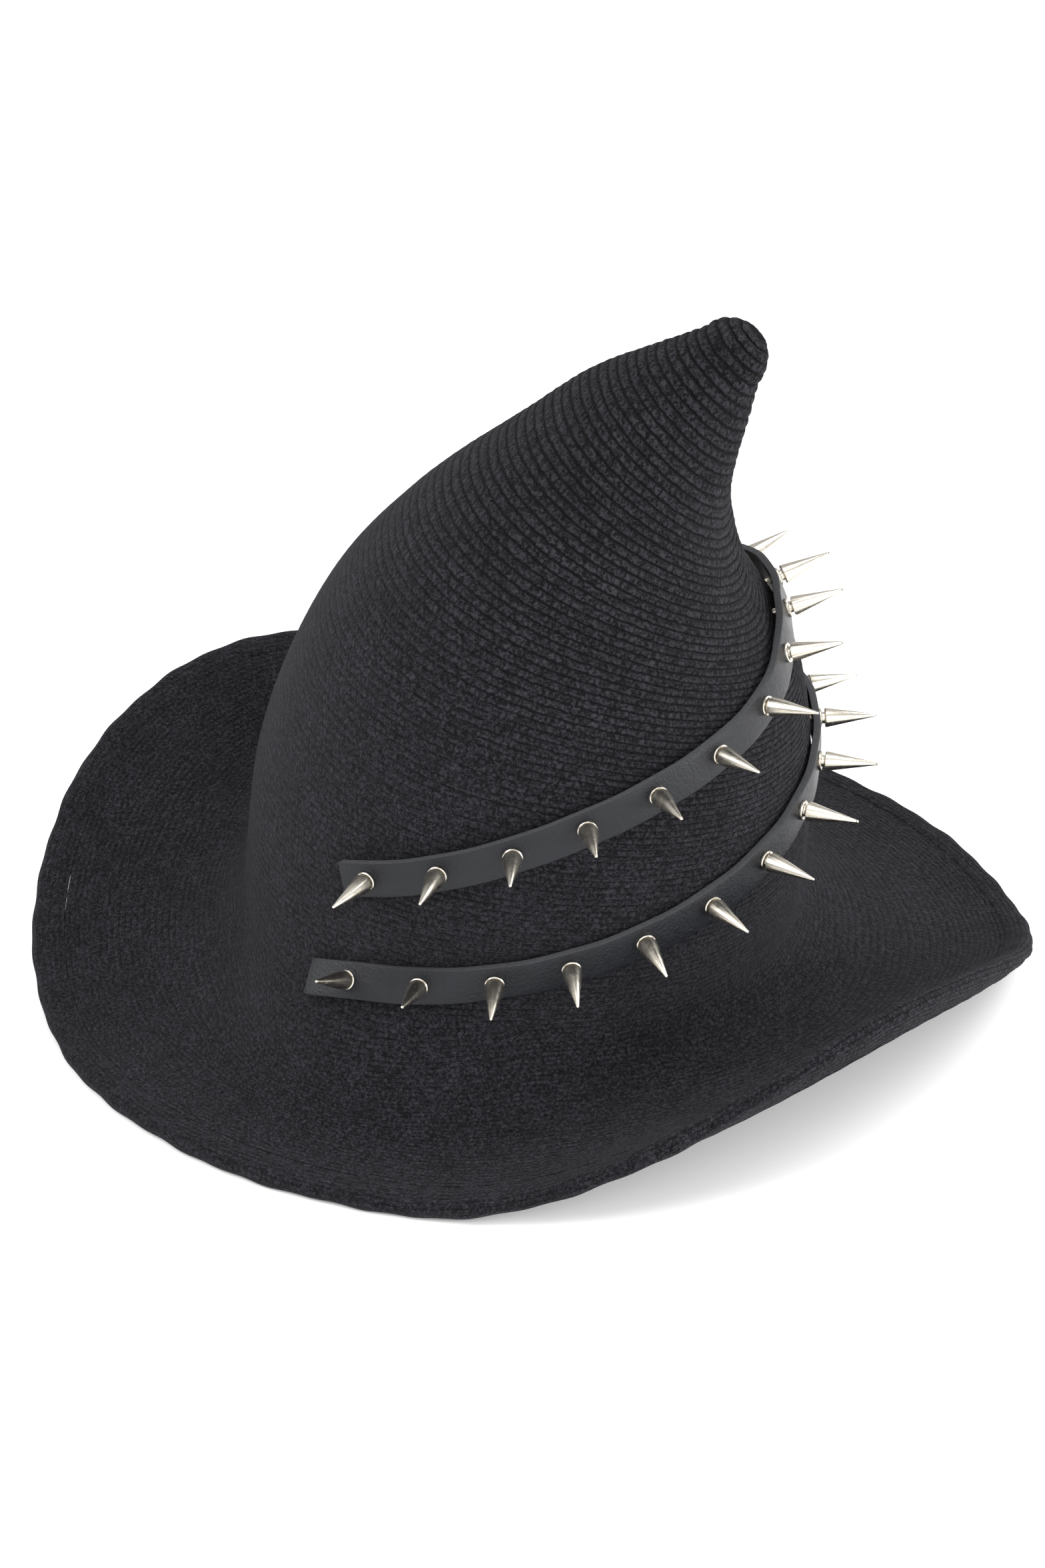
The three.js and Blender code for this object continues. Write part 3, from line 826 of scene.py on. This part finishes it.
def sewn_line(name, path, out, pitch, stitch, radius):
    """A closed line of thread stitches, each a small rounded bar lying along the path."""
    clear_selection()
    bpy.ops.mesh.primitive_cylinder_add(
        vertices=6, radius=radius, depth=stitch * 0.7, end_fill_type="TRIFAN",
        rotation=(0, math.pi / 2, 0))
    bar = bpy.context.object
    bpy.ops.object.transform_apply(rotation=True)
    # The two ends are drawn out into points that dive into the fabric.
    corners = place_of(bar.data)
    ends = np.linalg.norm(corners[:, 1:], axis=1) < 1e-6
    corners[ends] += np.sign(corners[ends][:, :1]) * [stitch * 0.15, 0, 0] - [0, 0, radius * 0.8]
    passed = walked(path)
    count = round(passed[-1] / pitch)
    at = np.arange(count) * passed[-1] / count
    middle = mixed(at, passed, path)
    along_line = unit(mixed((at + pitch / 2) % passed[-1], passed, path) - middle)
    side = unit(np.cross(mixed(at, passed, out), along_line))
    up = np.cross(along_line, side)
    points = (middle[:, None] + corners[None, :, :1] * along_line[:, None]
              + corners[None, :, 1:2] * side[:, None] + corners[None, :, 2:] * up[:, None])
    faces = [[v + i * len(corners) for v in face.vertices]
             for i in range(count) for face in bar.data.polygons]
    mesh = bpy.data.meshes.new(name)
    mesh.from_pydata(points.reshape(-1, 3).tolist(), [], faces)
    old = bar.data
    bar.data, bar.name = mesh, name
    bpy.data.meshes.remove(old)
    only(bar)
    bpy.ops.object.shade_smooth()
    return bar


class OBJECT_OT_hat_sweatband(bpy.types.Operator):
    """Line the head opening with a grosgrain ribbon"""
    bl_idname = "object.hat_sweatband"
    bl_label = "Sweatband"

    def execute(self, context):
        h = shape()
        columns, hang, cord, thread, radius = 240, 0.004, 0.0009, 0.0006, 0.09
        # It is sewn to the knit at its foot, and then stands in to clear the screws' heads.
        sewn, foot = h.wall + 0.0006, 0.006
        standing = screw_depth() / math.cos(math.radians(30)) + SCREW_HEAD * 0.5 + GAP
        heights = -hang + np.linspace(0, 1, 19) * (h.band_height + hang)
        ease = np.clip((heights + hang) / foot, 0, 1)
        ease = ease * ease * (3 - 2 * ease)
        inset = sewn + (standing - sewn) * ease
        band = np.concatenate([
            np.stack([inset, heights], 1),
            np.stack([inset + h.band_thickness, heights], 1)[::-1]])
        band = np.concatenate([band, band[:1]])[::-1]
        around = walked(band)
        angles = ring_angles(columns)

        def placed(u, v):
            depth, height = band[v].T
            place = place_at_height(angles[u], h.head_line + np.maximum(height, 0))
            points = crown_point(place, angles[u], 1, depth)
            points[:, 2] += np.minimum(height, 0)
            return points

        def uv(u, v, points):
            return np.stack([angles[u] * radius / cord, around[v] / thread], -1)

        ribbon = rolled_sheet("sweatband_ribbon", columns, len(band) - 1, placed, uv)
        finish_piece(ribbon, ["sweatband"], material("grosgrain_ribbon", grosgrain))
        return {"FINISHED"}


# ---- Straps and spikes ----

GAP = 0.0003                    # left between two pieces that touch
SCREW_HEAD = 0.0034             # radius of the screw's head
HEAD_HEIGHT = 0.0012            # of the screw's head
FACET_SLACK = 0.0009            # the screws are this much longer than the knit needs


def stand_off(tip):
    """Gap under the middle of a strap whose top edge leans off the knit."""
    look = strap_look()
    return look.stand_off + look.width / 2 * math.sin(math.radians(tip))


def grip(strap):
    """The screw's length between its head and the flange, through leather and knit."""
    look, tilt = strap_look(), math.radians(strap["tip"])
    knit = stand_off(strap["tip"]) + shape().wall + FACET_SLACK
    return GAP + look.thickness + knit / math.cos(tilt) + SCREW_HEAD * math.tan(tilt)


def screw_depth():
    """How far in from the outside of the knit the deepest screw reaches."""
    look = strap_look()
    longest = max(grip(strap) for strap in STRAPS.values())
    return longest + HEAD_HEIGHT - GAP - look.thickness - look.stand_off


class StrapLine:
    """The middle line of a strap's leather, by distance along it."""

    def __init__(self, strap):
        look = strap_look()
        angle = np.radians(np.arange(5, 356.0))
        share = (1 - np.cos(angle)) / 2
        height = (strap["front"] + (strap["back"] - strap["front"]) * share
                  + strap["bow"] * np.sin(angle) ** 2 - strap["droop"] * at_end(angle))
        place = place_at_height(angle, height)
        tip = np.radians(strap["tip"] * (1 - at_temple(angle) * strap["flat"])
                         - strap["turn"] * at_end(angle))[:, None]
        normal = crown_normal(place, angle)
        level = unit(np.stack([normal[:, 1], -normal[:, 0], 0 * angle], 1))
        # The leather's face is the knit's, turned about a level line until its top leans off.
        self.out = (normal * np.cos(tip) + np.cross(level, normal) * np.sin(-tip)
                    + level * (level * normal).sum(1, keepdims=True) * (1 - np.cos(tip)))
        lift = look.stand_off + look.width / 2 * np.sin(np.abs(tip)) + look.thickness / 2
        self.points = crown_point(place, angle) + normal * lift
        self.passed = walked(self.points)
        first = (self.passed[-1] - (strap["spikes"] - 1) * look.pitch) / 2 + strap["slip"]
        self.spikes = first + look.pitch * np.arange(strap["spikes"])

    def at(self, distance, step=0.002):
        point, ahead, behind = (mixed(distance + past, self.passed, self.points)
                                for past in (0, step, -step))
        out = unit(mixed(distance, self.passed, self.out))
        return point, out, unit(np.cross(out, unit(ahead - behind)))

    def seats(self):
        """A matrix for each spike, standing on the leather with its axis along +Z."""
        return [Matrix.Translation(Vector(point)) @ Matrix(
                    np.stack([across, np.cross(out, across), out], 1).tolist()).to_4x4()
                for point, out, across in zip(*self.at(self.spikes))]


class OBJECT_OT_hat_straps(bpy.types.Operator):
    """Cut the two leather straps and bend them round the crown"""
    bl_idname = "object.hat_straps"
    bl_label = "Straps"

    def execute(self, context):
        look = strap_look()
        for name, strap in STRAPS.items():
            line = StrapLine(strap)
            total = (strap["spikes"] - 1) * look.pitch + 2 * strap["end"]
            clear_selection()
            bpy.ops.mesh.primitive_cube_add(size=1, scale=(total, look.width, look.thickness))
            piece = named(f"{name}_strap_leather")
            bpy.ops.object.transform_apply(scale=True)
            edit("DESELECT")
            bpy.ops.mesh.select_mode(type="EDGE")
            stop_editing()
            for edge in piece.data.edges:
                a, b = (piece.data.vertices[i].co for i in edge.vertices)
                edge.select = abs(a.x - b.x) < 1e-6 and abs(a.y - b.y) < 1e-6
            bpy.ops.object.mode_set(mode="EDIT")
            bpy.ops.mesh.bevel(offset=0.0006, segments=2, affect="EDGES")
            bpy.ops.mesh.select_all(action="DESELECT")
            stop_editing()
            for face in piece.data.polygons:
                face.select = abs(face.normal.z) > 0.9
            bpy.ops.object.mode_set(mode="EDIT")
            bpy.ops.mesh.select_mode(type="FACE")
            bpy.ops.mesh.region_to_loop()
            bpy.ops.mesh.bevel(offset=0.00028, segments=3, affect="EDGES", profile=0.6)
            # It is cut across and along, so that it can bend.
            for size, count, way in ((total, round(total / 0.0030), (1, 0, 0)),
                                     (look.width, 6, (0, 1, 0))):
                for i in range(1, count):
                    edit()
                    cut = Vector(way) * size * (i / count - 0.5)
                    bpy.ops.mesh.bisect(plane_co=cut, plane_no=way)
            stop_editing()
            self.bend(piece, line, line.spikes[0] - strap["end"] + total / 2)
            finish_piece(piece, [f"{name}_strap"])
            piece.data.materials.append(material("strap_leather", faux_leather))
            piece.data.materials.append(material("strap_cut_edge", cut_edge))
        return {"FINISHED"}

    def bend(self, piece, line, middle):
        mesh, look = piece.data, strap_look()
        flat = place_of(mesh)
        edges = np.zeros(len(mesh.polygons), int)
        for i, face in enumerate(mesh.polygons):
            edges[i] = abs(face.normal.z) < 0.5
        mesh.polygons.foreach_set("material_index", edges)
        kept = mesh.attributes.new("flat_place", "FLOAT_VECTOR", "POINT")
        kept.data.foreach_set("vector", (flat + [middle, 0, 0]).astype(np.float32).ravel())
        point, out, across = line.at(middle + flat[:, 0])
        # The leather dishes a little between its edges and rises and falls between spikes.
        near = (middle + flat[:, 0] - line.spikes[0]) / look.pitch
        swell = 0.00035 * (1 - np.cos(2 * np.pi * near)) / 2
        crown = 0.00020 * (1 - (2 * flat[:, 1] / look.width) ** 2)
        height = flat[:, 2] + swell + crown - np.where(flat[:, 2] < 0, 0.0007, 0.0001)
        bent = point + out * height[:, None] + across * flat[:, 1:2]
        mesh.vertices.foreach_set("co", bent.astype(np.float32).ravel())
        mesh.update()
        only(piece)
        face_outward()
        bpy.ops.object.shade_smooth_by_angle(angle=math.radians(50))


class OBJECT_OT_hat_spikes(bpy.types.Operator):
    """Turn one cone spike and one screw, and set a pair at every hole of the straps"""
    bl_idname = "object.hat_spikes"
    bl_label = "Spikes and screws"

    def execute(self, context):
        look = strap_look()
        r, tall = look.radius, look.spike
        cone = turned("cone_spike", [
            (r * 0.93, 0), (r, 0.0002), (r, 0.0008), (r * 0.92, 0.00105), (r * 0.60, 0.00115),
            (r * 0.58, 0.0016), (r * 0.60, 0.0021), (r * 0.90, 0.0022), (r, 0.0025),
            (r * 0.985, 0.0031),
            (r * 0.17, tall - 0.0010), (r * 0.13, tall - 0.0007), (r * 0.16, tall - 0.00045),
            (r * 0.13, tall - 0.0002), (r * 0.05, tall)], 36)
        only(cone)
        bpy.ops.object.shade_smooth_by_angle(angle=math.radians(28))
        cone.data.materials.append(material("polished_nickel", polished_nickel))
        for name, strap in STRAPS.items():
            screw = self.screw(grip(strap))
            for i, seat in enumerate(StrapLine(strap).seats(), 1):
                seat = seat @ Matrix.Translation((0, 0, look.thickness / 2 + 0.00005))
                twin = copy_of(cone, f"{name}_cone_{i:02d}", seat)
                self.check_seat(twin, f"{name}_spike_{i:02d}")
                finish_piece(twin, [f"{name}_spike_{i:02d}"])
                finish_piece(copy_of(screw, f"{name}_screw_{i:02d}", seat))
            bpy.data.objects.remove(screw)
        bpy.data.objects.remove(cone)
        return {"FINISHED"}

    def screw(self, grip_length):
        """A pan-head screw with a slot, driven up through the knit and the leather."""
        top = -grip_length
        screw = turned("pan_screw", [
            (0.0010, top - HEAD_HEIGHT), (0.0024, top - 0.00112), (0.0031, top - 0.0008),
            (SCREW_HEAD, top - 0.0003), (0.0033, top), (0.0013, top + 0.00005),
            (0.0013, 0.0004)], 24)
        bpy.ops.mesh.primitive_cube_add(
            size=1, scale=(0.0048, 0.0008, 0.0012), location=(0, 0, top - HEAD_HEIGHT))
        slot = bpy.context.object
        bpy.ops.object.transform_apply(location=True, scale=True)
        only(screw)
        groove = screw.modifiers.new("slot", "BOOLEAN")
        groove.object, groove.operation, groove.solver = slot, "DIFFERENCE", "EXACT"
        bpy.ops.object.modifier_apply(modifier="slot")
        bpy.data.objects.remove(slot)
        bpy.ops.object.shade_smooth_by_angle(angle=math.radians(35))
        screw.data.materials.clear()
        screw.data.materials.append(material("satin_nickel", polished_nickel, "satin_nickel", 0.3))
        return screw

    def check_seat(self, spike, node):
        """The cone's tip has to be inside the frame's box for it."""
        low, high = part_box(node)
        tip = max(spike.data.vertices, key=lambda v: v.index).co
        slack = 0.0012
        if any(not low[k] - slack <= tip[k] <= high[k] + slack for k in range(3)):
            raise RuntimeError(f"{spike.name} isn't where the frame has {node}")


# ---- Stage ----

class OBJECT_OT_hat_stage(bpy.types.Operator):
    """Set up the pale floor, the soft studio light and the camera"""
    bl_idname = "object.hat_stage"
    bl_label = "Stage"

    def execute(self, context):
        scene = context.scene
        clear_selection()
        under_hem = -0.0002
        bpy.ops.mesh.primitive_plane_add(size=12, location=(0, 0, under_hem))
        floor = context.object
        floor.name = "studio_floor"
        n = Nodes("pale_floor")
        n.set(Base_Color=(0.86, 0.86, 0.86, 1), Roughness=0.85, Specular_IOR_Level=0.1)
        floor.data.materials.append(n.material)

        world = bpy.data.worlds.new("studio_air")
        world.use_nodes = True
        air = world.node_tree.nodes["Background"].inputs
        air["Color"].default_value, air["Strength"].default_value = (1.0, 1.0, 1.0, 1), 0.72
        scene.world = world

        target = Vector((0, -0.00372, 0.0744))
        for name, place, size, watts in (
                ("key_softbox", (0.45, -1.10, 1.15), 1.0, 21.0),
                ("back_softbox", (-0.55, 1.05, 1.0), 0.9, 15.0),
                ("right_strip", (0.75, 1.35, 0.55), 0.7, 22.0),
                ("front_softbox", (1.55, 0.10, 0.75), 1.9, 19.0),
                ("top_softbox", (0.1, 0.0, 1.7), 1.2, 11.0)):
            light = bpy.data.lights.new(name, "AREA")
            light.shape, light.size, light.energy = "SQUARE", size, watts
            lamp = bpy.data.objects.new(name, light)
            lamp.location = place
            lamp.rotation_euler = (target - Vector(place)).to_track_quat("-Z", "Y").to_euler()
            scene.collection.objects.link(lamp)

        film = 36
        lens = bpy.data.cameras.new("studio_camera")
        lens.sensor_fit, lens.sensor_height, lens.sensor_width = "VERTICAL", film, film
        camera = bpy.data.objects.new("studio_camera", lens)
        elevation, distance = math.radians(33), 1.674
        view_height = 2.352 / 4.30      # metres taken in at the target
        camera.location = target + Vector((math.cos(elevation), 0, math.sin(elevation))) * distance
        camera.rotation_euler = (target - camera.location).to_track_quat("-Z", "Y").to_euler()
        lens.lens = film * distance / view_height
        lens.dof.use_dof = False
        scene.collection.objects.link(camera)
        scene.camera = camera
        scene.view_settings.view_transform = "Standard"
        return {"FINISHED"}


class VIEW3D_PT_hat(bpy.types.Panel):
    bl_label = "Witch Hat"
    bl_idname = "VIEW3D_PT_hat"
    bl_space_type = "VIEW_3D"
    bl_region_type = "UI"
    bl_category = "Witch Hat"

    def draw(self, context):
        for settings in (shape(), knit_look(), strap_look()):
            box = self.layout.box()
            box.label(text=type(settings).__doc__)
            for key in type(settings).__annotations__:
                box.prop(settings, key)
        for piece in PIECES:
            self.layout.operator(piece.bl_idname)


PIECES = (OBJECT_OT_hat_crown, OBJECT_OT_hat_brim, OBJECT_OT_hat_hem, OBJECT_OT_hat_stitching,
          OBJECT_OT_hat_sweatband, OBJECT_OT_hat_straps, OBJECT_OT_hat_spikes, OBJECT_OT_hat_stage)
CLASSES = (HatShape, KnitLook, StrapLook, *PIECES, VIEW3D_PT_hat)


def register():
    for group in CLASSES:
        bpy.utils.register_class(group)
    bpy.types.Scene.hat_shape = bpy.props.PointerProperty(type=HatShape)
    bpy.types.Scene.hat_knit = bpy.props.PointerProperty(type=KnitLook)
    bpy.types.Scene.hat_straps = bpy.props.PointerProperty(type=StrapLook)


def unregister():
    for name in ("hat_shape", "hat_knit", "hat_straps"):
        delattr(bpy.types.Scene, name)
    for group in reversed(CLASSES):
        bpy.utils.unregister_class(group)


def main():
    register()
    bpy.ops.object.hat_stage()
    bpy.ops.object.hat_crown()
    bpy.ops.object.hat_brim()
    bpy.ops.object.hat_hem()
    bpy.ops.object.hat_stitching()
    bpy.ops.object.hat_sweatband()
    bpy.ops.object.hat_straps()
    bpy.ops.object.hat_spikes()


if __name__ == "__main__":
    main()
